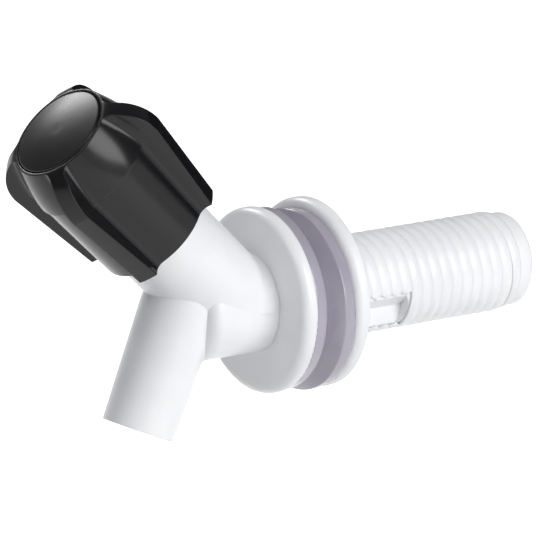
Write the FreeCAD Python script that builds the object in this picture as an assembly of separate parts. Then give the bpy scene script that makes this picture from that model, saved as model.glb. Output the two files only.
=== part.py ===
"""Screw-down drinking water tap for the wall of a filter container.

Millimetres. +X runs along the threaded tail, away from the user, and +Z is up.
The origin is the centre of the flange's rear face, where the front gasket seats.
Every piece is turned or extruded along its own +Z and then laid on one of the three
axes of the body: the tail, the inclined knob barrel or the spout.
"""

import FreeCAD, Part
import math
import os

# The three axes of the body: where each meets the tail's line, and its turn about +Y
TAIL_TURN = 90.0
KNOB_AT = -8.0
KNOB_TURN = -45.0
SPOUT_AT = -20.3
SPOUT_TURN = 203.6

# Tail, measured from the flange's rear face: the rod is the root of a 20 mm thread
TAIL_LENGTH = 60.0
TAIL_R = 9.4
TAIL_CREST_R = 10.0
TAIL_END_EASE = 1.0
INLET_R = 4.8
INLET_STEP = 0.0
INLET_CORE_R = 4.6
INLET_END = -5.6

# Drain scoop in the tail behind the nut
SCOOP_START = 15.0
SCOOP_LENGTH = 14.0
SCOOP_ANGLE = 31.0
SCOOP_HALF_ANGLE = 22.5
SCOOP_DEPTH = 1.5

# Flange and neck
FLANGE_R = 18.36
FLANGE_THICK = 3.0
FLANGE_FRONT_EASE = 1.9
FLANGE_REAR_EASE = 0.3
NECK_R = 9.81
NECK_END = -18.6
NECK_END_EASE = 2.5

# Barrel, as heights along the knob's axis
BARREL_R = 10.0
BARREL_TOP = 36.0
CHAMBER_R = 6.5
CHAMBER_FLOOR = 2.6
CHAMBER_TOP = 14.0
BARREL_WALL = 1.9
PORT_R = 3.5
PORT_BOTTOM = -5.0
SEAT_HEIGHT = 0.8
SEAT_WALL = 1.1

# Spout, as lengths from the tail's line
SPOUT_LENGTH = 23.65
SPOUT_ROOT = -9.3
SPOUT_ROOT_R = 7.77
SPOUT_MOUTH_R = 7.15
SPOUT_WALL = 1.85
SPOUT_BORE_TOP = 3.6
SPOUT_THROAT_R = 4.6

# Gaskets and lock nut
GASKET_R = 18.0
GASKET_WAIST_R = 15.0
GASKET_THICK = 4.6
GASKET_LIP = 2.3
GASKET_BORE_R = 11.0
GASKET_SAG = 0.95
NUT_R = 18.8
NUT_THICK = 3.0
NUT_FRONT_EASE = 1.7
NUT_REAR_EASE = 0.4
NUT_HEX_ACROSS = 24.0
NUT_HEX_HEIGHT = 2.2

# Knob, with depths measured down from its cap
CAP_HEIGHT = 55.8
CAP_R = 9.54
CAP_THICK = 2.1
CAP_CROWN = 0.7
CAP_EDGE = 0.45
CAP_SPIGOT_R = 8.2
CAP_SPIGOT_WALL = 1.2
KNOB_LENGTH = 30.2
RIM_DEPTH = 0.3
RIM_WALL = 0.65
RIM_TUCK = 0.1
RIB_COUNT = 4
RIB_PHASE = 42.2
SHOULDER_DEPTH = 9.0
SHOULDER_R = 16.85
RIB_FOOT_R = 14.3
RIB_TOP_HALF = 1.7
RIB_FOOT_HALF = 2.0
RIB_BLANK_R = 20.0
FLUTE_FILLET = 2.0
FLUTE_FLARE = 1.5
FLUTE_SECTIONS = 4
FLUTE_STEP_DEPTH = 10.0
FLUTE_STEP = 0.3
FLUTE_STEP_R = 12.6
SKIRT_R = 11.85
SKIRT_WALL = 1.4
HUB_R = 5.6
HUB_GAP = 0.6
WEB_THICK = 1.8
RECESS_DEPTH = 3.8

# Spindle and what it carries, as heights along the knob's axis
SPINDLE_RISE = 4.5
STEM_R = 3.5
STEM_FLATS_HALF = 2.6
STEM_FLATS_GAP = 0.4
SCREW_LAND = 0.3
DRIVE_R = 5.0
DRIVE_LENGTH = 7.5
PIN_R = 2.8
PIN_REACH = 4.0
PIN_BEAD = 0.3
PIN_BEAD_HEIGHT = 1.0
THRUST_THICK = 0.8
THRUST_WALL = 1.2
SEAL_SECTION_R = 0.9
SEAL_BITE = 0.05
LOWER_SEAL_ABOVE_STOP = 1.9
UPPER_SEAL_ABOVE_STOP = 4.9

# Bonnet
BONNET_SEAL_THICK = 1.5
BONNET_SEAL_R = 6.7
BONNET_HEX_ACROSS = 17.0
BONNET_HEX_HEIGHT = 3.0
BONNET_NECK = 11.3

# Washer holder, washer and its screw
WASHER_R = 5.0
WASHER_THICK = 2.5
WASHER_BORE_R = 1.6
CUP_R = 5.9
CUP_LIP = 1.3
CUP_HEIGHT = 3.4
HOLDER_HUB_R = 4.6
HOLDER_FLOOR = 0.9
HOLDER_FINS = 4
FIN_THICK = 1.4
WASHER_SCREW_R = 1.5
WASHER_SCREW_HEAD_R = 2.7
WASHER_SCREW_HEAD = 1.2
WASHER_SCREW_REACH = 2.2

# Screws: shares of the head's height, then the knob's screw
SCREW_EASE = 0.45
SCREW_SLOT = 0.5
KNOB_SCREW_R = 1.4
KNOB_SCREW_HEAD_R = 3.0
KNOB_SCREW_HEAD = 1.4
KNOB_SCREW_REACH = 9.0

# Clearances
RUNNING = 0.05
THREAD_GAP = 0.1
LOOSE = 0.2
SKIRT_GAP = 0.4
FIN_GAP = 0.3

Z = FreeCAD.Vector(0, 0, 1)
Y = FreeCAD.Vector(0, 1, 0)
ORIGIN = FreeCAD.Vector(0, 0, 0)


def section_point(r, z):
    """A point of a turned profile, at radius r and height z."""
    return FreeCAD.Vector(r, 0, z)


def turned(*points):
    """A solid turned about +Z from a closed profile of (radius, height) corners."""
    corners = [section_point(*point) for point in points]
    wire = Part.makePolygon(corners + corners[:1])
    return Part.Face(wire).revolve(ORIGIN, Z, 360)


def rod(radius, bottom, top, end_radius=None):
    """A straight or tapered rod along +Z."""
    upper = radius if end_radius is None else end_radius
    return turned((0, bottom), (radius, bottom), (upper, top), (0, top))


def ring(outer, inner, bottom, top):
    """A flat ring along +Z."""
    return turned((inner, bottom), (outer, bottom), (outer, top), (inner, top))


def eased(solid, radius, *rims):
    """The solid with a fillet on each circular rim named by its (radius, height)."""
    chosen = []
    for edge in solid.Edges:
        if not isinstance(edge.Curve, Part.Circle):
            continue
        for rim_r, rim_z in rims:
            if abs(edge.Curve.Radius - rim_r) < 1e-4 and abs(edge.Curve.Center.z - rim_z) < 1e-4:
                chosen.append(edge)
    return solid.makeFillet(radius, chosen)


def hexagon(across, bottom, height):
    """A hexagonal prism along +Z, by its width across flats."""
    corner_r = across / math.sqrt(3)
    corners = []
    for side in range(7):
        turn = math.radians(60 * side)
        corners.append(FreeCAD.Vector(corner_r * math.cos(turn), corner_r * math.sin(turn), bottom))
    return Part.Face(Part.makePolygon(corners)).extrude(Z * height)


def laid(solid, at, turn):
    """The solid turned about +Y and moved to its place on the tail's line."""
    placed = solid.copy()
    axis = FreeCAD.Placement(FreeCAD.Vector(at, 0, 0), FreeCAD.Rotation(Y, turn))
    placed.Placement = axis.multiply(solid.Placement)
    return placed


def on_tail(solid):
    return laid(solid, 0, TAIL_TURN)


def on_knob_axis(solid):
    return laid(solid, KNOB_AT, KNOB_TURN)


def on_spout(solid):
    return laid(solid, SPOUT_AT, SPOUT_TURN)


# Sizes that follow from the driving ones
SEAT_TOP = CHAMBER_FLOOR + SEAT_HEIGHT
SOCKET_R = BARREL_R - BARREL_WALL
BONNET_FOOT = CHAMBER_TOP + BONNET_SEAL_THICK
BONNET_R = SOCKET_R - THREAD_GAP
DRIVE_BORE_R = DRIVE_R + RUNNING
STEM_BORE_R = STEM_R + RUNNING
BONNET_TOP = BARREL_TOP + BONNET_HEX_HEIGHT
STOP_HEIGHT = BONNET_TOP - BONNET_NECK
LOWER_SEAL_HEIGHT = STOP_HEIGHT + LOWER_SEAL_ABOVE_STOP
UPPER_SEAL_HEIGHT = STOP_HEIGHT + UPPER_SEAL_ABOVE_STOP
DRIVE_TOP = STOP_HEIGHT - SPINDLE_RISE - THRUST_THICK - RUNNING
DRIVE_FOOT = DRIVE_TOP - DRIVE_LENGTH
WASHER_TOP = SEAT_TOP + WASHER_THICK
PIN_FOOT = WASHER_TOP + WASHER_SCREW_REACH + HOLDER_FLOOR
HOLDER_HUB_TOP = PIN_FOOT + PIN_REACH
CUP_FOOT = WASHER_TOP - CUP_LIP
CUP_TOP = CUP_FOOT + CUP_HEIGHT
KNOB_FOOT = CAP_HEIGHT - KNOB_LENGTH
KNOB_RIM = CAP_HEIGHT - RIM_DEPTH
RECESS_FLOOR = CAP_HEIGHT - RECESS_DEPTH
RECESS_R = CAP_R + LOOSE
RIM_R = RECESS_R + RIM_WALL
WEB_FOOT = RECESS_FLOOR - WEB_THICK
HUB_FOOT = BONNET_TOP + HUB_GAP
STEM_FLATS_START = HUB_FOOT + STEM_FLATS_GAP
SPINDLE_TOP = WEB_FOOT - SCREW_LAND
CAVITY_R = BARREL_R + SKIRT_GAP
NUT_FACE = 2 * GASKET_THICK
NUT_BACK = NUT_FACE + NUT_THICK


def body_skin():
    """Outside of the moulded body: tail, flange, neck, barrel and spout."""
    tail = eased(rod(TAIL_R, 0, TAIL_LENGTH), TAIL_END_EASE, (TAIL_R, TAIL_LENGTH))
    flange = rod(FLANGE_R, -FLANGE_THICK, 0)
    flange = eased(flange, FLANGE_FRONT_EASE, (FLANGE_R, -FLANGE_THICK))
    flange = eased(flange, FLANGE_REAR_EASE, (FLANGE_R, 0))
    neck = eased(rod(NECK_R, NECK_END, -FLANGE_THICK / 2), NECK_END_EASE, (NECK_R, NECK_END))
    barrel = rod(NECK_R, 0, BARREL_TOP, BARREL_R)
    spout = rod(SPOUT_ROOT_R, SPOUT_ROOT, 0)
    spout = spout.fuse(rod(SPOUT_ROOT_R, 0, SPOUT_LENGTH, SPOUT_MOUTH_R))
    skin = on_tail(tail).fuse([on_tail(flange), on_tail(neck), on_knob_axis(barrel), on_spout(spout)])
    return skin.removeSplitter()


def body_waterway():
    """Inside of the body: stepped inlet, port, chamber, bonnet socket, and stepped spout bore."""
    inlet = on_tail(rod(INLET_R, INLET_STEP, TAIL_LENGTH + 1))
    core = on_tail(rod(INLET_CORE_R, INLET_END, INLET_STEP + 1))
    port = on_knob_axis(rod(PORT_R, PORT_BOTTOM, CHAMBER_FLOOR + 1))
    chamber = on_knob_axis(rod(CHAMBER_R, CHAMBER_FLOOR, CHAMBER_TOP + 1))
    socket = on_knob_axis(rod(SOCKET_R, CHAMBER_TOP, BARREL_TOP + 1))
    throat = on_spout(rod(SPOUT_THROAT_R, SPOUT_ROOT, SPOUT_BORE_TOP + 1))
    outlet = on_spout(rod(SPOUT_MOUTH_R - SPOUT_WALL, SPOUT_BORE_TOP, SPOUT_LENGTH + 1))
    return inlet.fuse([core, port, chamber, socket, throat, outlet])


def drain_scoop():
    """Shallow hollow in the tail's lower side, with rounded ends and two flat walls."""
    edge_y = TAIL_R * math.sin(math.radians(SCOOP_HALF_ANGLE))
    edge_z = TAIL_R * math.cos(math.radians(SCOOP_HALF_ANGLE))
    reach = 2 * edge_y
    rise = reach * SCOOP_DEPTH / edge_y
    corners = [
        FreeCAD.Vector(0, 0, edge_z - SCOOP_DEPTH),
        FreeCAD.Vector(0, reach, edge_z - SCOOP_DEPTH + rise),
        FreeCAD.Vector(0, -reach, edge_z - SCOOP_DEPTH + rise),
    ]
    wedge = Part.Face(Part.makePolygon(corners + corners[:1]))
    wedge = wedge.extrude(FreeCAD.Vector(SCOOP_LENGTH, 0, 0))
    rounded = Part.makeCylinder(SCOOP_LENGTH / 2, 2 * TAIL_R, FreeCAD.Vector(SCOOP_LENGTH / 2, 0, 0))
    scoop = wedge.common(rounded)
    down_and_left = FreeCAD.Rotation(FreeCAD.Vector(1, 0, 0), 90 + SCOOP_ANGLE)
    scoop.Placement = FreeCAD.Placement(FreeCAD.Vector(SCOOP_START, 0, 0), down_and_left)
    return scoop


def body():
    """The moulded body, with its valve seat standing in the chamber."""
    shell = body_skin().cut(body_waterway()).cut(drain_scoop())
    seat = on_knob_axis(ring(PORT_R + SEAT_WALL, PORT_R, CHAMBER_FLOOR - SEAT_HEIGHT, SEAT_TOP))
    return shell.fuse(seat).removeSplitter()


def gasket():
    """Soft ring with a straight lip and a cone that narrows to its waist."""
    return turned(
        (GASKET_BORE_R, 0),
        (GASKET_R, 0),
        (GASKET_R, GASKET_LIP),
        (GASKET_WAIST_R, GASKET_THICK),
        (GASKET_BORE_R, GASKET_THICK),
    )


def front_gasket():
    return on_tail(gasket())


def back_gasket():
    """The second gasket, turned round, hanging on the tail by its own slack."""
    mirrored = on_tail(gasket()).mirror(ORIGIN, FreeCAD.Vector(1, 0, 0))
    mirrored.translate(FreeCAD.Vector(NUT_FACE, 0, -GASKET_SAG))
    return mirrored


def lock_nut():
    """Flanged nut with a low hexagon behind, bored to clear the crest of the tail's thread."""
    disc = rod(NUT_R, NUT_FACE, NUT_BACK)
    disc = eased(disc, NUT_FRONT_EASE, (NUT_R, NUT_FACE))
    disc = eased(disc, NUT_REAR_EASE, (NUT_R, NUT_BACK))
    grip = hexagon(NUT_HEX_ACROSS, NUT_BACK, NUT_HEX_HEIGHT)
    bore = rod(TAIL_CREST_R + THREAD_GAP, NUT_FACE - 1, NUT_BACK + NUT_HEX_HEIGHT + 1)
    return on_tail(disc.fuse(grip).cut(bore))


def crown():
    """Solid turned to the outline of the ribs: a round shoulder above a straight taper."""
    height = CAP_HEIGHT - SHOULDER_DEPTH
    rise = KNOB_RIM - height
    spread = SHOULDER_R - RIM_R
    round_r = (rise ** 2 + spread ** 2) / (2 * spread)
    middle = math.asin(rise / round_r) / 2
    rim = section_point(RIM_R, KNOB_RIM)
    bend = section_point(
        SHOULDER_R - round_r + round_r * math.cos(middle), height + round_r * math.sin(middle)
    )
    shoulder = section_point(SHOULDER_R, height)
    side = Part.makePolygon([
        shoulder,
        section_point(RIB_FOOT_R, KNOB_FOOT),
        section_point(0, KNOB_FOOT),
        section_point(0, KNOB_RIM),
        rim,
    ])
    wire = Part.Wire([Part.Arc(rim, bend, shoulder).toShape()] + side.Edges)
    return Part.Face(wire).revolve(ORIGIN, Z, 360)


def rib_half(depth):
    """Half a rib's thickness at a depth below the cap."""
    share = (depth - SHOULDER_DEPTH) / (KNOB_LENGTH - SHOULDER_DEPTH)
    return RIB_TOP_HALF + (RIB_FOOT_HALF - RIB_TOP_HALF) * max(share, 0)


def star(depth, floor_r):
    """Cross-section of ribs and flute floors at a depth, with filleted inner corners."""
    height = CAP_HEIGHT - depth
    half = rib_half(depth)
    fillet_y = half + FLUTE_FILLET
    fillet_x = math.sqrt((floor_r + FLUTE_FILLET) ** 2 - fillet_y ** 2)
    to_axis = math.atan2(-fillet_y, -fillet_x)
    bend_turn = (to_axis - math.pi / 2) / 2
    share = floor_r / (floor_r + FLUTE_FILLET)
    tip = (RIB_BLANK_R, half)
    wall = (fillet_x, half)
    bend = (fillet_x + FLUTE_FILLET * math.cos(bend_turn), fillet_y + FLUTE_FILLET * math.sin(bend_turn))
    floor = (fillet_x * share, fillet_y * share)
    pitch = 2 * math.pi / RIB_COUNT

    def at(point, turn, side=1):
        x, y = point[0], point[1] * side
        cos, sin = math.cos(turn), math.sin(turn)
        return FreeCAD.Vector(x * cos - y * sin, x * sin + y * cos, height)

    edges = []
    for rib in range(RIB_COUNT):
        turn = math.radians(RIB_PHASE) + rib * pitch
        after = turn + pitch
        middle = at((floor_r, 0), turn + pitch / 2)
        edges.append(Part.makeLine(at(tip, turn, -1), at(tip, turn)))
        edges.append(Part.makeLine(at(tip, turn), at(wall, turn)))
        edges.append(Part.Arc(at(wall, turn), at(bend, turn), at(floor, turn)).toShape())
        edges.append(Part.Arc(at(floor, turn), middle, at(floor, after, -1)).toShape())
        edges.append(Part.Arc(at(floor, after, -1), at(bend, after, -1), at(wall, after, -1)).toShape())
        edges.append(Part.makeLine(at(wall, after, -1), at(tip, after, -1)))
    return Part.Wire(edges)


def fluted_core():
    """Ribs and flute floors, flared above the step and slightly tapered below it."""
    rim_r = RIM_R - RIM_TUCK
    sections = []
    for section in range(FLUTE_SECTIONS):
        down = section / (FLUTE_SECTIONS - 1)
        out = 1 - (1 - down) ** FLUTE_FLARE
        depth = RIM_DEPTH + down * (FLUTE_STEP_DEPTH - RIM_DEPTH)
        sections.append(star(depth, rim_r + out * (FLUTE_STEP_R - rim_r)))
    upper = Part.makeLoft(sections, True, False)
    step = star(FLUTE_STEP_DEPTH, FLUTE_STEP_R - FLUTE_STEP)
    lower = Part.makeLoft([step, star(KNOB_LENGTH, SKIRT_R)], True, True)
    return upper.fuse(lower)


def knob():
    """Black hand knob: four ribs with flutes between, hollow below round a keyed hub."""
    outside = crown().common(fluted_core())
    top_r = RIM_R - SKIRT_WALL
    cavity = turned(
        (0, KNOB_FOOT - 1),
        (CAVITY_R, KNOB_FOOT - 1),
        (CAVITY_R, BONNET_TOP),
        (top_r, WEB_FOOT),
        (HUB_R, WEB_FOOT),
        (HUB_R, HUB_FOOT),
        (0, HUB_FOOT),
    )
    recess = rod(RECESS_R, RECESS_FLOOR, CAP_HEIGHT + 1)
    keyway = keyed_rod(STEM_R + RUNNING, STEM_FLATS_HALF + RUNNING, HUB_FOOT - 1, WEB_FOOT)
    entry = rod(STEM_R + RUNNING, HUB_FOOT - 1, STEM_FLATS_START)
    screw_hole = rod(KNOB_SCREW_R + RUNNING, WEB_FOOT - 1, RECESS_FLOOR + 1)
    return on_knob_axis(outside.cut(cavity).cut(recess).cut(keyway).cut(entry).cut(screw_hole))


def keyed_rod(radius, half_width, bottom, top):
    """A rod with two flats."""
    block = Part.makeBox(4 * radius, 2 * half_width, top - bottom)
    block.translate(FreeCAD.Vector(-2 * radius, -half_width, bottom))
    return rod(radius, bottom, top).common(block)


def knob_cap():
    """Slightly crowned cap with a rounded edge and a snap spigot round the screw pocket."""
    underside = CAP_HEIGHT - CAP_THICK
    flat_r = CAP_R - CAP_EDGE
    crown_r = (flat_r ** 2 + CAP_CROWN ** 2) / (2 * CAP_CROWN)
    half_r = flat_r / 2
    half_height = CAP_HEIGHT + CAP_CROWN - crown_r + math.sqrt(crown_r ** 2 - half_r ** 2)
    dome_foot = section_point(flat_r, CAP_HEIGHT)
    dome_half = section_point(half_r, half_height)
    dome_top = section_point(0, CAP_HEIGHT + CAP_CROWN)
    side_top = section_point(CAP_R, CAP_HEIGHT - CAP_EDGE)
    bend = CAP_EDGE * (1 - math.sqrt(0.5))
    side_bend = section_point(CAP_R - bend, CAP_HEIGHT - bend)
    curves = [
        Part.Arc(side_top, side_bend, dome_foot).toShape(),
        Part.Arc(dome_foot, dome_half, dome_top).toShape(),
    ]
    straight = Part.makePolygon([
        dome_top,
        section_point(0, underside),
        section_point(CAP_R, underside),
        side_top,
    ])
    disc = Part.Face(Part.Wire(curves + straight.Edges)).revolve(ORIGIN, Z, 360)
    spigot = ring(CAP_SPIGOT_R, CAP_SPIGOT_R - CAP_SPIGOT_WALL, RECESS_FLOOR, underside + CAP_EDGE)
    return on_knob_axis(disc.fuse(spigot).removeSplitter())


def screw(radius, reach, head_r, head, seat):
    """A pan-head screw whose head stands on the height seat and whose shank points down."""
    shank = rod(radius, seat - reach, seat)
    top = eased(rod(head_r, seat, seat + head), head * SCREW_EASE, (head_r, seat + head))
    slot_size = head * SCREW_SLOT
    slot = Part.makeBox(2 * head_r, slot_size, slot_size)
    slot.translate(FreeCAD.Vector(-head_r, -slot_size / 2, seat + head - slot_size))
    return shank.fuse(top).cut(slot)


def knob_screw():
    return on_knob_axis(
        screw(KNOB_SCREW_R, KNOB_SCREW_REACH, KNOB_SCREW_HEAD_R, KNOB_SCREW_HEAD, RECESS_FLOOR)
    )


def spindle():
    """Spindle: swivel pin, drive thread, stem with two seal grooves and a keyed end."""
    groove_r = STEM_R - 2 * SEAL_SECTION_R + 2 * SEAL_BITE
    shape = rod(PIN_R, PIN_FOOT, DRIVE_FOOT)
    shape = shape.fuse(rod(PIN_R + PIN_BEAD, PIN_FOOT, PIN_FOOT + PIN_BEAD_HEIGHT))
    shape = shape.fuse(rod(DRIVE_R, DRIVE_FOOT, DRIVE_TOP))
    shape = shape.fuse(rod(STEM_R, DRIVE_TOP, STEM_FLATS_START))
    shape = shape.fuse(keyed_rod(STEM_R, STEM_FLATS_HALF, STEM_FLATS_START, SPINDLE_TOP))
    for height in (LOWER_SEAL_HEIGHT, UPPER_SEAL_HEIGHT):
        half = SEAL_SECTION_R + RUNNING
        shape = shape.cut(ring(STEM_R + 1, groove_r, height - half, height + half))
    pilot = rod(KNOB_SCREW_R + RUNNING, SPINDLE_TOP - KNOB_SCREW_REACH, SPINDLE_TOP + 1)
    return on_knob_axis(shape.removeSplitter().cut(pilot))


def stem_seal(height):
    """A stem O-ring in its groove, just short of the bonnet's bore."""
    section_r = SEAL_SECTION_R - SEAL_BITE
    return on_knob_axis(Part.makeTorus(STEM_R - section_r, section_r, FreeCAD.Vector(0, 0, height)))


def lower_stem_seal():
    return stem_seal(LOWER_SEAL_HEIGHT)


def upper_stem_seal():
    return stem_seal(UPPER_SEAL_HEIGHT)


def thrust_washer():
    """Plain ring on the spindle's shoulder, which meets the bonnet's stop when fully open."""
    inner = STEM_R + RUNNING
    return on_knob_axis(ring(inner + THRUST_WALL, inner, DRIVE_TOP, DRIVE_TOP + THRUST_THICK))


def bonnet():
    """Bush screwed into the barrel, with a hexagon head and the spindle's thread inside."""
    sleeve = rod(BONNET_R, BONNET_FOOT, BARREL_TOP)
    head = hexagon(BONNET_HEX_ACROSS, BARREL_TOP, BONNET_HEX_HEIGHT)
    drive_bore = rod(DRIVE_BORE_R, BONNET_FOOT - 1, STOP_HEIGHT)
    stem_bore = rod(STEM_BORE_R, STOP_HEIGHT - 1, BONNET_TOP + 1)
    return on_knob_axis(sleeve.fuse(head).cut(drive_bore).cut(stem_bore))


def bonnet_seal():
    """Flat sealing ring squeezed between the bonnet's foot and the socket's floor."""
    return on_knob_axis(ring(BONNET_R, BONNET_SEAL_R, CHAMBER_TOP, BONNET_FOOT))


def washer_holder():
    """Winged holder: a cup round the washer and a hub that the spindle's pin turns in."""
    cup = rod(CUP_R, CUP_FOOT, CUP_TOP)
    hub = rod(HOLDER_HUB_R, CUP_TOP, HOLDER_HUB_TOP)
    fins = rod(CHAMBER_R - FIN_GAP, CUP_FOOT, CUP_TOP)
    cross = None
    for fin in range(HOLDER_FINS // 2):
        plate = Part.makeBox(2 * CHAMBER_R, FIN_THICK, CUP_TOP - CUP_FOOT)
        plate.translate(FreeCAD.Vector(-CHAMBER_R, -FIN_THICK / 2, CUP_FOOT))
        plate.rotate(ORIGIN, Z, 360 / HOLDER_FINS * fin)
        cross = plate if cross is None else cross.fuse(plate)
    fins = fins.common(cross)
    pocket = rod(WASHER_R + RUNNING, CUP_FOOT - 1, WASHER_TOP)
    pin_bore = rod(PIN_R + RUNNING, PIN_FOOT - RUNNING, HOLDER_HUB_TOP + 1)
    bead_top = PIN_FOOT + PIN_BEAD_HEIGHT + RUNNING
    bead_bore = rod(PIN_R + PIN_BEAD + RUNNING, PIN_FOOT - RUNNING, bead_top)
    screw_bore = rod(WASHER_SCREW_R + RUNNING, WASHER_TOP - 1, WASHER_TOP + WASHER_SCREW_REACH)
    holder = cup.fuse([hub, fins]).removeSplitter()
    return on_knob_axis(holder.cut(pocket).cut(pin_bore).cut(bead_bore).cut(screw_bore))


def valve_washer():
    return on_knob_axis(ring(WASHER_R, WASHER_BORE_R, SEAT_TOP, WASHER_TOP))


def washer_screw():
    """Screw through the washer, head down in the port."""
    reach = WASHER_THICK + WASHER_SCREW_REACH
    upright = screw(WASHER_SCREW_R, reach, WASHER_SCREW_HEAD_R, WASHER_SCREW_HEAD, 0)
    upright.rotate(ORIGIN, FreeCAD.Vector(1, 0, 0), 180)
    upright.translate(FreeCAD.Vector(0, 0, SEAT_TOP))
    return on_knob_axis(upright)


PIECES = (
    body,
    front_gasket,
    back_gasket,
    lock_nut,
    knob,
    knob_cap,
    knob_screw,
    spindle,
    thrust_washer,
    lower_stem_seal,
    upper_stem_seal,
    bonnet,
    bonnet_seal,
    washer_holder,
    valve_washer,
    washer_screw,
)


def main():
    os.makedirs("parts", exist_ok=True)
    for piece in PIECES:
        piece().exportStep(f"parts/{piece.__name__}.step")


main()
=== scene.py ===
# %% [markdown]
# A water tap for a filter container, dressed for its portrait.
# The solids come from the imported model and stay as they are. This lesson adds what the solids leave
# out: the thread, the soft gaskets, and a finish for every piece. Lengths in the text are in
# millimetres, and Blender works in metres.

import bpy
import numpy as np
from mathutils import Matrix


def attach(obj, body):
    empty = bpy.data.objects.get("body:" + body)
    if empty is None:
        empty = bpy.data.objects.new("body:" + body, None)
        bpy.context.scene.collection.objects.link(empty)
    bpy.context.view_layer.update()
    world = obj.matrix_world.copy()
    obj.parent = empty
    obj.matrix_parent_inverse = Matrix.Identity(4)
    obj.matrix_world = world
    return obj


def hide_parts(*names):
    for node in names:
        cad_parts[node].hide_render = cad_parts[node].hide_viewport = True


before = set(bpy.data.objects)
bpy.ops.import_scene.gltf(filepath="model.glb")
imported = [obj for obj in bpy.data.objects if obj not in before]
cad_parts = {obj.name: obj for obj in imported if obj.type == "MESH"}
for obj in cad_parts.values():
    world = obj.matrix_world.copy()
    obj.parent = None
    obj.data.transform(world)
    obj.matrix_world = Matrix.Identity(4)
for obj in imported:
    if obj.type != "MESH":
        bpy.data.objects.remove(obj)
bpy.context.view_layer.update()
print("nodes", sorted(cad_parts))

# %% [markdown]
# Every piece of this tap is turned round one of two lines: the tail's, which is the X axis, or the
# inclined line that the knob and the valve share. So the gaskets are worked out standing upright
# on +Z, where a turned shape is easy to write, and are then laid on their line with one rotation.
# A parent object or a constraint could place them too, but then their place wouldn't be in their
# mesh.

# %% Laying a shape on its line
MM = 0.001
TAIL = (0.0, 90.0)
KNOB_LINE = (-8.0, -45.0)


def turn_about_y(degrees):
    """Matrix that turns +Z towards +X by the angle: x = x cos + z sin, z = z cos - x sin."""
    angle = np.radians(degrees)
    cos, sin = np.cos(angle), np.sin(angle)
    return np.array([[cos, 0, sin], [0, 1, 0], [-sin, 0, cos]])


def laid(points, line):
    """Points turned by the line's angle and moved to where the line meets the tail's."""
    at, degrees = line
    return points @ turn_about_y(degrees).T + np.array([at, 0, 0])


print("knob line points along", (turn_about_y(KNOB_LINE[1]) @ np.array([0, 0, 1])).round(3))

# %% [markdown]
# A surface that is a function of two parameters becomes a grid of points, one row for each value of
# the first and one column for each value of the second. Joining neighbours gives quads. Where the
# surface meets itself, as a ring does, the last row joins the first, so no seam is left open.
# Building the index arrays at once is quicker than a loop over vertices, and no longer to read.

# %% From a grid of points to a mesh
def grid_faces(rows, columns, close_rows=False, close_columns=False):
    """Quads of a grid: corner (i, j), then (i + 1, j), (i + 1, j + 1) and (i, j + 1)."""
    i = np.arange(rows if close_rows else rows - 1)[:, None]
    j = np.arange(columns if close_columns else columns - 1)[None, :]
    below, beside = (i + 1) % rows, (j + 1) % columns
    corners = [i * columns + j, below * columns + j, below * columns + beside, i * columns + beside]
    return np.stack(np.broadcast_arrays(*corners), axis=-1)


def build(name, points, faces, body=None):
    """Mesh object from a grid in millimetres and its quads, smooth, riding on a body."""
    mesh = bpy.data.meshes.new(name)
    vertices = points.reshape(-1, 3) * MM
    mesh.from_pydata(vertices, [], faces.reshape(-1, 4))
    mesh.polygons.foreach_set("use_smooth", np.ones(len(mesh.polygons), bool))
    mesh.update()
    piece = bpy.data.objects.new(name, mesh)
    bpy.context.scene.collection.objects.link(piece)
    if body:
        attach(piece, body)
    print(name, "has", len(mesh.vertices), "points and", len(mesh.polygons), "quads")
    return piece


# %% [markdown]
# The tail carries a shallow plastic thread, 20 mm over its crests, with 2.5 mm from ridge to ridge.
# The solid rod is its core, so the piece is the ridge alone: a broad low section carried along a
# helix, so wide that neighbouring turns meet in a shallow groove. It fades out at both ends, and it
# stops round the drain scoop, which is cut through the thread on the real tap. A Screw modifier
# could sweep the section, but it can't fade or stop it.

# %% The thread's measures
THREAD_ROOT = 9.4
THREAD_GROOVE = 9.88
THREAD_CREST = 10.0
THREAD_PITCH = 2.5
THREAD_FROM, THREAD_TO = 4.0, 57.0
RIDGE_HALF = 1.26
RIDGE_SINK = 0.5
RIDGE_FLANK = 1.0
SCOOP_MIDDLE = 22.0
SCOOP_ROUND = 7.0
SCOOP_HALF_ANGLE = 22.5
SCOOP_BELOW = 31.0


def smooth_step(share):
    """Share held to 0..1 and eased at both ends: 3 s squared minus 2 s cubed."""
    share = np.clip(share, 0, 1)
    return share * share * (3 - 2 * share)


def clear_of_scoop(angle, along):
    """How far, in mm, a point of the tail's surface lies outside the drain scoop's outline."""
    middle = np.radians(180 + SCOOP_BELOW)
    aside = (angle - middle + np.pi) % (2 * np.pi) - np.pi
    past_side = (np.abs(aside) - np.radians(SCOOP_HALF_ANGLE)) * THREAD_ROOT
    lateral = THREAD_ROOT * np.sin(np.clip(aside, -np.pi / 2, np.pi / 2))
    past_end = np.hypot(along - SCOOP_MIDDLE, lateral) - SCOOP_ROUND
    return np.maximum(past_side, past_end)


print("a quarter eased is", smooth_step(0.25))
top_clear = clear_of_scoop(np.radians(90), SCOOP_MIDDLE)
print("the tail's top clears the scoop by", top_clear.round(1), "mm")

# %% [markdown]
# A ridge's section is an arch: it rises in a smooth step from each foot to the crest, and closes
# underneath, below the surface that carries it. At the ends of a run the whole section shrinks to a
# point, so the ridge is closed there without a separate cap.

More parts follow.
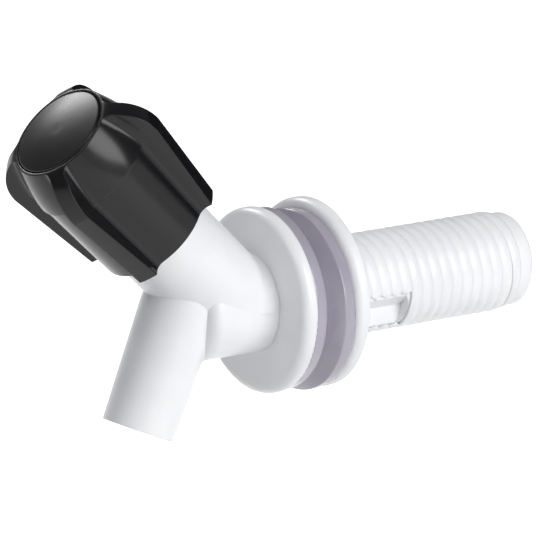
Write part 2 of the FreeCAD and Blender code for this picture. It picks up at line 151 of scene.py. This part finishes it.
# %% A ridge along a helix
def ridge(angles, along, height, foot, rise, half, sink, across=17):
    """Grid of an arched section carried along a helix on the X axis.

    The section's point at share v of its width lies half * v ahead along X and at radius
    foot + rise * step((1 - |v|) / flank); a last point under its middle closes it, sink deep.
    Every point is drawn towards that last point by the row's height, from 1 down to 0.
    """
    share = np.concatenate([[-1], np.linspace(-1, 1, across) * 0.9999, [1]])
    lift = smooth_step((1 - np.abs(share)) / RIDGE_FLANK)
    deep = foot - np.sign(rise) * sink
    radius = np.append(np.where(np.abs(share) == 1, deep, foot + rise * lift), deep)
    ahead = np.append(half * share, 0.0)
    low = radius[-1]
    radius = low + (radius - low) * height[:, None]
    ahead = ahead * height[:, None]
    x = along[:, None] + ahead
    y = radius * np.cos(angles)[:, None]
    z = radius * np.sin(angles)[:, None]
    return np.stack([x, y, z], axis=-1)


def helix(start, end, steps_per_turn=72):
    """Angles and places along X of a right-hand helix: along = start + pitch * angle / 2 pi."""
    turns = (end - start) / THREAD_PITCH
    angles = np.linspace(0, 2 * np.pi * turns, int(turns * steps_per_turn))
    return angles, start + THREAD_PITCH * angles / (2 * np.pi)


print("the tail's helix has", round((THREAD_TO - THREAD_FROM) / THREAD_PITCH, 1), "turns")

# %% [markdown]
# The thread on a moulded tail doesn't stop short: its last turn at either end dies away. Over the
# scoop there is nothing to carry it. Both are one number for each row of the grid, the ridge's
# height, and the faces between two rows of no height are left out.

# %% The tail's thread
SCOOP_MARGIN, SCOOP_FADE = 0.1, 0.7

angles, along = helix(THREAD_FROM, THREAD_TO)
run_in = smooth_step((along - THREAD_FROM) / THREAD_PITCH)
run_out = smooth_step((THREAD_TO - along) / THREAD_PITCH)
beside_scoop = smooth_step((clear_of_scoop(angles, along) - SCOOP_MARGIN) / SCOOP_FADE)
height = run_in * run_out * beside_scoop
rise = THREAD_CREST - THREAD_GROOVE
points = ridge(angles, along, height, THREAD_GROOVE, rise, RIDGE_HALF, RIDGE_SINK)
faces = grid_faces(*points.shape[:2], close_columns=True)
shown = (height[:-1] > 0) | (height[1:] > 0)
tail_thread = build("tail_thread", points, faces[shown], "tap_body")
print("scoop interrupts the ridge in", int(np.sum(np.diff(shown.astype(int)) == 1)), "places")

# %% [markdown]
# The lock nut has the matching inner thread. Its ridge points inwards and lies half a pitch away
# from the tail's, so the two interlock at rest, and they still do when the nut is run along the tail,
# because it moves one pitch a turn.

# %% The nut's thread
NUT_FACE, NUT_END = 9.2, 14.4
NUT_BORE = 10.1
NUT_RIDGE_RISE = -0.2
NUT_RIDGE_HALF = 0.34
NUT_END_MARGIN = 0.5
NUT_FADE = 3

turns_before = np.ceil((NUT_FACE - THREAD_FROM) / THREAD_PITCH - 0.5)
nut_start = THREAD_FROM + (turns_before + 0.5) * THREAD_PITCH
angles, along = helix(nut_start, NUT_END - NUT_END_MARGIN)
height = smooth_step(NUT_FADE * (along - along[0])) * smooth_step(NUT_FADE * (along[-1] - along))
points = ridge(angles, along, height, NUT_BORE, NUT_RIDGE_RISE, NUT_RIDGE_HALF, RIDGE_SINK)
faces = grid_faces(*points.shape[:2], close_columns=True)[..., ::-1]
nut_thread = build("nut_thread", points, faces, "nut")

# %% [markdown]
# The two gaskets are soft clear plastic, moulded as rings: a straight lip against the flange or the
# nut, then a cone down to a narrow waist where they meet. Moulded rubbery rings have no sharp edges,
# so the profile's corners are replaced by arcs before it is turned. A Bevel modifier would do this
# as well, but an arc worked out from the corner is exact and gives even quads.

# %% Rounding a profile's corners
FLAT_RUN = 0.06


def rounded(corners, radii, steps=7):
    """Closed profile with an arc of radius r in each corner.

    The arc touches both sides at r / tan(half angle) from the corner, and its centre lies on the
    bisector, r / sin(half angle) away. A short run on each side keeps the flats flat in shading.
    """
    corners = np.asarray(corners, float)
    radii = np.asarray(radii, float)[:, None]
    before = np.roll(corners, 1, axis=0) - corners
    after = np.roll(corners, -1, axis=0) - corners
    before /= np.linalg.norm(before, axis=1, keepdims=True)
    after /= np.linalg.norm(after, axis=1, keepdims=True)
    half = np.arccos(np.sum(before * after, axis=1, keepdims=True)) / 2
    bisector = before + after
    bisector /= np.linalg.norm(bisector, axis=1, keepdims=True)
    reach = radii / np.tan(half)
    centre = corners + bisector * radii / np.sin(half)
    first = corners + before * reach - centre
    last = corners + after * reach - centre
    bend = (np.pi - 2 * half)[:, None, :]
    share = np.linspace(0, 1, steps)[None, :, None]
    swung = np.sin((1 - share) * bend) * first[:, None] + np.sin(share * bend) * last[:, None]
    arc = centre[:, None] + swung / np.sin(bend)
    lead_in = (corners + before * (reach + FLAT_RUN))[:, None]
    lead_out = (corners + after * (reach + FLAT_RUN))[:, None]
    return np.concatenate([lead_in, arc, lead_out], axis=1).reshape(-1, 2)


def revolved(profile, steps=160):
    """Grid of a closed (radius, height) profile turned about +Z: x = r cos t, y = r sin t, z = h."""
    turn = np.linspace(0, 2 * np.pi, steps, endpoint=False)[:, None]
    radius, rise = profile[None, :, 0], profile[None, :, 1]
    rise = np.broadcast_to(rise, (steps, len(profile)))
    return np.stack([radius * np.cos(turn), radius * np.sin(turn), rise], axis=-1)


print("a rounded square has", len(rounded([(1, 0), (2, 0), (2, 1), (1, 1)], [0.2] * 4)), "points")

# %% [markdown]
# Both gaskets come from one mould, so both rings come from one profile. The front one lies against
# the flange. The back one is its mirror image against the nut, and it hangs a little low, because
# its bore is wider than the thread. Mirroring turns the faces inside out, so their corners are
# listed backwards.

# %% The gaskets
GASKET_R, GASKET_WAIST, GASKET_BORE = 18.0, 15.0, 11.0
GASKET_LIP, GASKET_THICK = 2.3, 4.6
GASKET_SAG = 0.95

corners = [
    (GASKET_BORE, 0.0),
    (GASKET_R, 0.0),
    (GASKET_R, GASKET_LIP),
    (GASKET_WAIST, GASKET_THICK),
    (GASKET_BORE, GASKET_THICK),
]
profile = rounded(corners, [0.3, 0.35, 0.5, 0.45, 0.3])
upright = revolved(profile)
ring_faces = grid_faces(*upright.shape[:2], close_rows=True, close_columns=True)

front = laid(upright, TAIL)
front_ring = build("front_gasket_ring", front, ring_faces, "tap_body")
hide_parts("front_gasket")

back = front * [-1, 1, 1] + [2 * GASKET_THICK, 0, -GASKET_SAG]
back_ring = build("back_gasket_ring", back, ring_faces[..., ::-1], "rear_gasket")
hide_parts("back_gasket")

# %% [markdown]
# Finishes are node trees, and most of what they do is arithmetic: a mask times a strength, one
# minus a mask. Wiring Math nodes by hand hides that, so a small class wraps a socket and turns
# Python's operators into Math nodes. A second class makes every other kind of node in one way.

# %% Shader maths as Python
class Wire:
    """An output socket. Arithmetic on it adds a Math node and gives the new socket."""

    def __init__(self, finish, socket):
        self.finish, self.socket = finish, socket

    def math(self, operation, *values):
        return self.finish.node("ShaderNodeMath", {"operation": operation}, dict(enumerate(values)))

    def __add__(self, other):
        return self.math("ADD", self, other)

    def __sub__(self, other):
        return self.math("SUBTRACT", self, other)

    def __rsub__(self, other):
        return self.math("SUBTRACT", other, self)

    def __mul__(self, other):
        return self.math("MULTIPLY", self, other)

    def __pow__(self, other):
        return self.math("POWER", self, other)

    __radd__ = __add__
    __rmul__ = __mul__


class Finish:
    """A material whose nodes are made one at a time and whose Principled shader is filled last."""

    def __init__(self, name):
        self.material = bpy.data.materials.new(name)
        self.material.use_nodes = True
        self.tree = self.material.node_tree
        self.shader = self.tree.nodes["Principled BSDF"]
        self.place = self.node("ShaderNodeTexCoord", output="Object")

    def node(self, kind, settings=None, sockets=None, output=0):
        """Makes a node, sets its own settings first, and then its sockets' values or links."""
        made = self.tree.nodes.new(kind)
        for key, value in (settings or {}).items():
            if key == "stops":
                self.set_stops(made.color_ramp, value)
            else:
                setattr(made, key, value)
        self.fill(made, sockets or {})
        return Wire(self, made.outputs[output])

    def set_stops(self, ramp, stops):
        for spare in range(len(stops) - 2):
            ramp.elements.new(0.5)
        for element, (position, shade) in zip(ramp.elements, stops):
            element.position, element.color = position, shade

    def fill(self, node, sockets):
        """Sets or links the named sockets of a node."""
        for key, value in sockets.items():
            if isinstance(value, Wire):
                self.tree.links.new(value.socket, node.inputs[key])
            else:
                node.inputs[key].default_value = value

    def mix(self, mask, low, high):
        """Colour between low and high by the mask."""
        low, high = (value if isinstance(value, Wire) else (*value, 1.0) for value in (low, high))
        return self.node("ShaderNodeMix", {"data_type": "RGBA"}, {0: mask, 6: low, 7: high}, output=2)

    def noise(self, scale, detail=3.0, roughness=0.5, place=None):
        """Cloudy pattern from 0 to 1, with about scale cells in a metre."""
        sockets = {"Scale": scale, "Detail": detail, "Roughness": roughness}
        return self.node("ShaderNodeTexNoise", {}, {**sockets, "Vector": place or self.place})

    def spread(self, value, low, high):
        """Value stretched so that low becomes 0 and high becomes 1, eased between."""
        sockets = {0: value, 1: low, 2: high, 3: 0.0, 4: 1.0}
        return self.node("ShaderNodeMapRange", {"interpolation_type": "SMOOTHSTEP"}, sockets)

    def soft_edges(self, radius):
        """Normal that rounds the piece's edges in the light, by a radius in metres."""
        return self.node("ShaderNodeBevel", {"samples": 6}, {"Radius": radius})

    def even_pole(self, inner=0.0006, outer=0.0022):
        """The piece's own normal, which turns into the knob line's direction near that line.

        The share is 1 within the inner distance from the line and 0 beyond the outer one. A point's
        distance is the length of the cross product of its place and the line's direction.
        """
        along = turn_about_y(KNOB_LINE[1]) @ np.array([0, 0, 1])
        shift = {"Vector": self.place, "Location": (-KNOB_LINE[0] * MM, 0, 0)}
        centred = self.node("ShaderNodeMapping", {}, shift)
        kind = "ShaderNodeVectorMath"
        across = self.node(kind, {"operation": "CROSS_PRODUCT"}, {0: centred, 1: along})
        distance = self.node(kind, {"operation": "LENGTH"}, {0: across}, output="Value")
        own = self.node("ShaderNodeNewGeometry", output="Normal")
        near = 1 - self.spread(distance, inner, outer)
        ends = {0: near, 4: own, 5: along}
        return self.node("ShaderNodeMix", {"data_type": "VECTOR"}, ends, output=1)

    def relief(self, height, distance, strength=1.0, normal=None):
        """Normal of a height pattern that stands distance metres proud."""
        sockets = {"Height": height, "Distance": distance, "Strength": strength}
        if normal:
            sockets["Normal"] = normal
        return self.node("ShaderNodeBump", {}, sockets)

    def wear(self, **sockets):
        """Fills the Principled shader, with underscores standing for spaces in its sockets' names."""
        self.fill(self.shader, {key.replace("_", " "): value for key, value in sockets.items()})
        return self.material


# %% [markdown]
# The body and the nut are moulded in white plastic. It is glossy, yet never a mirror: the mould's
# polish leaves a faint ripple, and the skin is a little cloudy, so light softens inside it. The
# ripple is a low noise in the bump, the cloudiness a slight change of colour and gloss, and a touch
# of subsurface scattering takes the hardness out of the shadows.

# %% White moulded plastic
def white_plastic():
    finish = Finish("white_moulded_plastic")
    cloud = finish.noise(60.0, detail=2.0)
    ripple = finish.noise(420.0, detail=2.0)
    grain = finish.noise(2600.0, detail=1.0)
    colour = finish.mix(finish.spread(cloud, 0.35, 0.65), (0.80, 0.81, 0.83), (0.84, 0.85, 0.865))
    edges = finish.soft_edges(0.0004)
    rippled = finish.relief(ripple, 0.00003, 0.35, normal=edges)
    return finish.wear(
        Base_Color=colour,
        Roughness=0.25 + 0.10 * cloud + 0.05 * grain,
        Normal=finish.relief(grain, 0.000008, 0.4, normal=rippled),
        IOR=1.49,
        Subsurface_Weight=0.15,
        Subsurface_Radius=(0.0012, 0.0011, 0.0010),
        Subsurface_Scale=1.0,
    )


white = white_plastic()
print("white plastic has", len(white.node_tree.nodes), "nodes")

# %% [markdown]
# The gaskets are clear soft plastic with a plum tint. Light goes in, bends and comes out bright at
# the rims, so they need real transmission rather than a see-through colour. Faint flow marks from
# the mould vary the tint and the gloss.

# %% Clear soft plastic
def clear_soft_plastic():
    finish = Finish("clear_soft_plastic")
    flow = finish.noise(150.0, detail=2.0)
    ripple = finish.noise(500.0, detail=1.0)
    colour = finish.mix(flow, (0.74, 0.69, 0.84), (0.86, 0.82, 0.93))
    return finish.wear(
        Base_Color=colour,
        Roughness=0.08 + 0.12 * flow,
        Normal=finish.relief(ripple, 0.00008, 0.5),
        Transmission_Weight=0.6,
        IOR=1.53,
    )


clear = clear_soft_plastic()
print("clear plastic has", len(clear.node_tree.nodes), "nodes")

# %% [markdown]
# The knob and its cap are black plastic with a satin gloss. Black shows form only through what it
# reflects, so the edges matter most: each rib ends in a narrow rounded edge that catches a thin
# bright line. Rounding the normal at the edges gives that line without touching the solid. The cap
# has its own rounded rim, so it does without. Its crown is meshed as thin triangles that all meet in
# the middle, where the finish takes the knob line's direction as its normal, so no mark shows.

# %% Black moulded plastic
def black_plastic(name, edge, base_roughness):
    """Black plastic with its edges rounded by a radius in metres, or with an even pole for none."""
    finish = Finish(name)
    cloud = finish.noise(90.0, detail=3.0)
    ripple = finish.noise(350.0, detail=2.0)
    colour = finish.mix(cloud, (0.003, 0.003, 0.004), (0.007, 0.007, 0.008))
    edges = finish.soft_edges(edge) if edge else finish.even_pole()
    return finish.wear(
        Base_Color=colour,
        Roughness=base_roughness + 0.10 * cloud,
        Normal=finish.relief(ripple, 0.00003, 0.3, normal=edges),
        Specular_IOR_Level=0.3,
    )


black = black_plastic("black_knob_plastic", 0.00045, 0.16)
black_cap = black_plastic("black_cap_plastic", None, 0.24)
print("made", black.name, "and", black_cap.name)

# %% [markdown]
# The working parts are hidden, but they show in a cut or when the knob comes off. Turned metal has
# fine rings round its axis, so the pattern needs the distance along that axis: the coordinates are
# turned onto the knob's line and one of them is stretched until the noise becomes rings.

# %% Turned metal, rubber and natural plastic
def turned_metal(name, low, high, roughness):
    finish = Finish(name)
    angle = np.radians(-KNOB_LINE[1])
    kind = "ShaderNodeMapping"
    upright = finish.node(kind, {}, {"Vector": finish.place, "Rotation": (0, angle, 0)})
    rings = finish.node(kind, {}, {"Vector": upright, "Scale": (40.0, 40.0, 6000.0)})
    lathe = finish.noise(1.0, detail=2.0, place=rings)
    stain = finish.noise(160.0, detail=4.0)
    return finish.wear(
        Base_Color=finish.mix(finish.spread(stain, 0.3, 0.7), low, high),
        Metallic=1.0,
        Roughness=roughness + 0.18 * lathe,
        Normal=finish.relief(lathe, 0.00001, 0.5, normal=finish.soft_edges(0.00015)),
    )


def matt_moulded(name, low, high, roughness):
    finish = Finish(name)
    cloud = finish.noise(120.0, detail=4.0)
    pores = finish.noise(1800.0, detail=2.0)
    return finish.wear(
        Base_Color=finish.mix(cloud, low, high),
        Roughness=roughness + 0.15 * cloud,
        Normal=finish.relief(pores, 0.00001, 0.6, normal=finish.soft_edges(0.00015)),
    )


brass = turned_metal("turned_brass", (0.60, 0.42, 0.16), (0.76, 0.57, 0.26), 0.22)
steel = turned_metal("plain_steel", (0.48, 0.48, 0.49), (0.62, 0.62, 0.63), 0.25)
rubber = matt_moulded("black_rubber", (0.018, 0.018, 0.018), (0.035, 0.034, 0.033), 0.6)
natural = matt_moulded("natural_plastic", (0.70, 0.68, 0.61), (0.80, 0.78, 0.72), 0.42)
print("made", [hidden.name for hidden in (brass, steel, rubber, natural)])

# %% [markdown]
# Each carried-over solid keeps its shape and only changes its finish. Giving the finishes from one
# table makes it plain that no node is forgotten.

# %% Dressing the solids
DRESS = {
    "body": white,
    "lock_nut": white,
    "front_gasket": clear,
    "back_gasket": clear,
    "knob": black,
    "knob_cap": black_cap,
    "knob_screw": steel,
    "washer_screw": steel,
    "spindle": brass,
    "bonnet": brass,
    "thrust_washer": natural,
    "washer_holder": natural,
    "lower_stem_seal": rubber,
    "upper_stem_seal": rubber,
    "bonnet_seal": rubber,
    "valve_washer": rubber,
}


def dress(piece, material):
    piece.data.materials.clear()
    piece.data.materials.append(material)


for name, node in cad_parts.items():
    dress(node, DRESS[name])
for piece, material, slot in (
    (tail_thread, white, "white_plastic"),
    (nut_thread, white, "white_plastic"),
    (front_ring, clear, "clear_soft_plastic"),
    (back_ring, clear, "clear_soft_plastic"),
):
    dress(piece, material)
print("dressed", len(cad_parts), "solids and 4 new pieces")

# %% [markdown]
# The camera stands where the photograph was taken from: low, to the left of the tail, and far away
# with a long lens, so parallel edges hardly converge. Its place was worked out from the outlines of
# the flange, the nut and the tail. The camera's own axes are written down directly.

# %% The camera
AZIMUTH, ELEVATION = np.radians(-35.8153), np.radians(13.5697)
DISTANCE = 1088.37
PIXELS_PER_MM = 5.1398
ASIDE, ABOVE = -5.7444, -4.1731
PICTURE = 560
SENSOR = 36.0

backwards = np.array([
    np.sin(AZIMUTH) * np.cos(ELEVATION),
    -np.cos(AZIMUTH) * np.cos(ELEVATION),
    np.sin(ELEVATION),
])
rightwards = np.array([np.cos(AZIMUTH), np.sin(AZIMUTH), 0.0])
upwards = np.cross(backwards, rightwards)
eye = backwards * DISTANCE - rightwards * ASIDE - upwards * ABOVE - np.array([3.0, 0, 0])

camera = bpy.data.objects.new("camera", bpy.data.cameras.new("camera"))
bpy.context.scene.collection.objects.link(camera)
pose = np.eye(4)
pose[:3, :3] = np.stack([rightwards, upwards, backwards], axis=1)
pose[:3, 3] = eye * MM
camera.matrix_world = Matrix(pose)
camera.data.sensor_width = SENSOR
camera.data.lens = SENSOR * PIXELS_PER_MM * DISTANCE / PICTURE
camera.data.clip_start, camera.data.clip_end = 0.01, 50.0
bpy.context.scene.camera = camera
print("lens", round(camera.data.lens, 1), "mm")

# %% [markdown]
# The tap was photographed on white, almost without shadow. The main light is broad and soft and
# stands above and in front, a little to the right, so it whitens the barrel, the spout and the tail
# while the flange's face, which looks to the left, goes grey. A weak lamp overhead keeps that face
# from going dark, and a third one behind leaves its sheen on the cap's upper edge.

# %% The lamps
def soft_lamp(name, place, aim, size, power, shade=(1.0, 1.0, 1.0)):
    """Square area lamp at a place, facing its aim, in millimetres and watts."""
    lamp = bpy.data.objects.new(name, bpy.data.lights.new(name, "AREA"))
    lamp.data.shape = "SQUARE"
    lamp.data.size = size * MM
    lamp.data.energy = power
    lamp.data.color = shade
    away = np.array(place, float) - np.array(aim, float)
    away /= np.linalg.norm(away)
    side = np.cross([0, 0, 1], away)
    side /= np.linalg.norm(side)
    lamp_pose = np.eye(4)
    lamp_pose[:3, :3] = np.stack([side, np.cross(away, side), away], axis=1)
    lamp_pose[:3, 3] = np.array(place, float) * MM
    lamp.matrix_world = Matrix(lamp_pose)
    bpy.context.scene.collection.objects.link(lamp)
    return lamp


middle = (0.0, 0.0, 0.0)
soft_lamp("key", (170, -745, 340), middle, 520, 5.5)
soft_lamp("over", (-480, -150, 640), middle, 420, 1.1)
soft_lamp("behind", (0, 770, 600), middle, 300, 3.4)
print("lamps", [lamp.name for lamp in bpy.data.lights])

# %% [markdown]
# The floor is a wide disc well below the tap, and a low white wall far off hides its edge. Both are
# white because of their own colour and a glow that only the camera, glossy pieces and clear pieces
# see, so it puts no light on the tap. A dark card stands to the right, out of the picture, as a
# photographer would put it: the knob's side then reflects black, and its edges stay crisp. The card
# is left out of camera rays, so that a view from the right isn't blocked by it.

# %% Floor, wall and card
FLOOR = -140.0
FLOOR_POLE = 0.001
WALL_R, WALL_TOP = 4000.0, 300.0
GROUND_STEPS = 64
CARD_X = 520.0
CARD_Y = (-260.0, 420.0)
CARD_Z = (-130.0, 420.0)

ground = np.array([[FLOOR_POLE, FLOOR], [WALL_R, FLOOR], [WALL_R, WALL_TOP]])
turned = revolved(ground, GROUND_STEPS)
strip = grid_faces(GROUND_STEPS, 2, close_rows=True)
floor = build("floor", turned[:, :2], strip)
wall = build("wall", turned[:, 1:], strip)
card_corners = np.array([[[CARD_X, y, z] for z in CARD_Z] for y in CARD_Y])
card = build("dark_card", card_corners, grid_faces(2, 2))
card.visible_camera = False


# %% [markdown]
# The ground's glow goes through the Light Path node, which tells what kind of ray asks. A ray that
# lights a matt piece gets none of it. The card is felt, the plainest black there is: rough, and dark
# all the way to the edge.

# %% What the ground and the card are made of
def white_ground(name, glow):
    """Pale matt ground that shows as white, and adds no light of its own to matt pieces."""
    finish = Finish(name)
    path = finish.tree.nodes.new("ShaderNodeLightPath").outputs
    seen = Wire(finish, path["Is Camera Ray"]) + Wire(finish, path["Is Glossy Ray"])
    seen = seen + Wire(finish, path["Is Transmission Ray"])
    cloud = finish.noise(3.0, detail=2.0)
    return finish.wear(
        Base_Color=finish.mix(cloud, (0.80, 0.80, 0.80), (0.83, 0.83, 0.83)),
        Roughness=0.9,
        Emission_Color=finish.mix(seen, (0.0, 0.0, 0.0), (1.0, 1.0, 1.0)),
        Emission_Strength=glow,
    )


def dark_felt():
    """Fluffy black that reflects hardly anything."""
    finish = Finish("dark_felt")
    fluff = finish.noise(400.0, detail=4.0)
    colour = finish.mix(fluff, (0.010, 0.010, 0.011), (0.020, 0.020, 0.022))
    return finish.wear(Base_Color=colour, Roughness=0.95)


dress(floor, white_ground("pale_floor", 0.88))
dress(wall, white_ground("pale_wall", 1.0))
dress(card, dark_felt())

# %% [markdown]
# A real room is never black, and its walls fill the shadows. The world stands for them with one plain
# grey, which the knob's flutes also reflect. Standard view keeps a written colour as it is.

# %% The room's own light
ROOM = (0.22, 0.22, 0.225, 1.0)

scene = bpy.context.scene
world = bpy.data.worlds.new("studio")
scene.world = world
world.use_nodes = True
world.node_tree.nodes["Background"].inputs["Color"].default_value = ROOM
scene.view_settings.view_transform = "Standard"
print("room light", ROOM[:3])
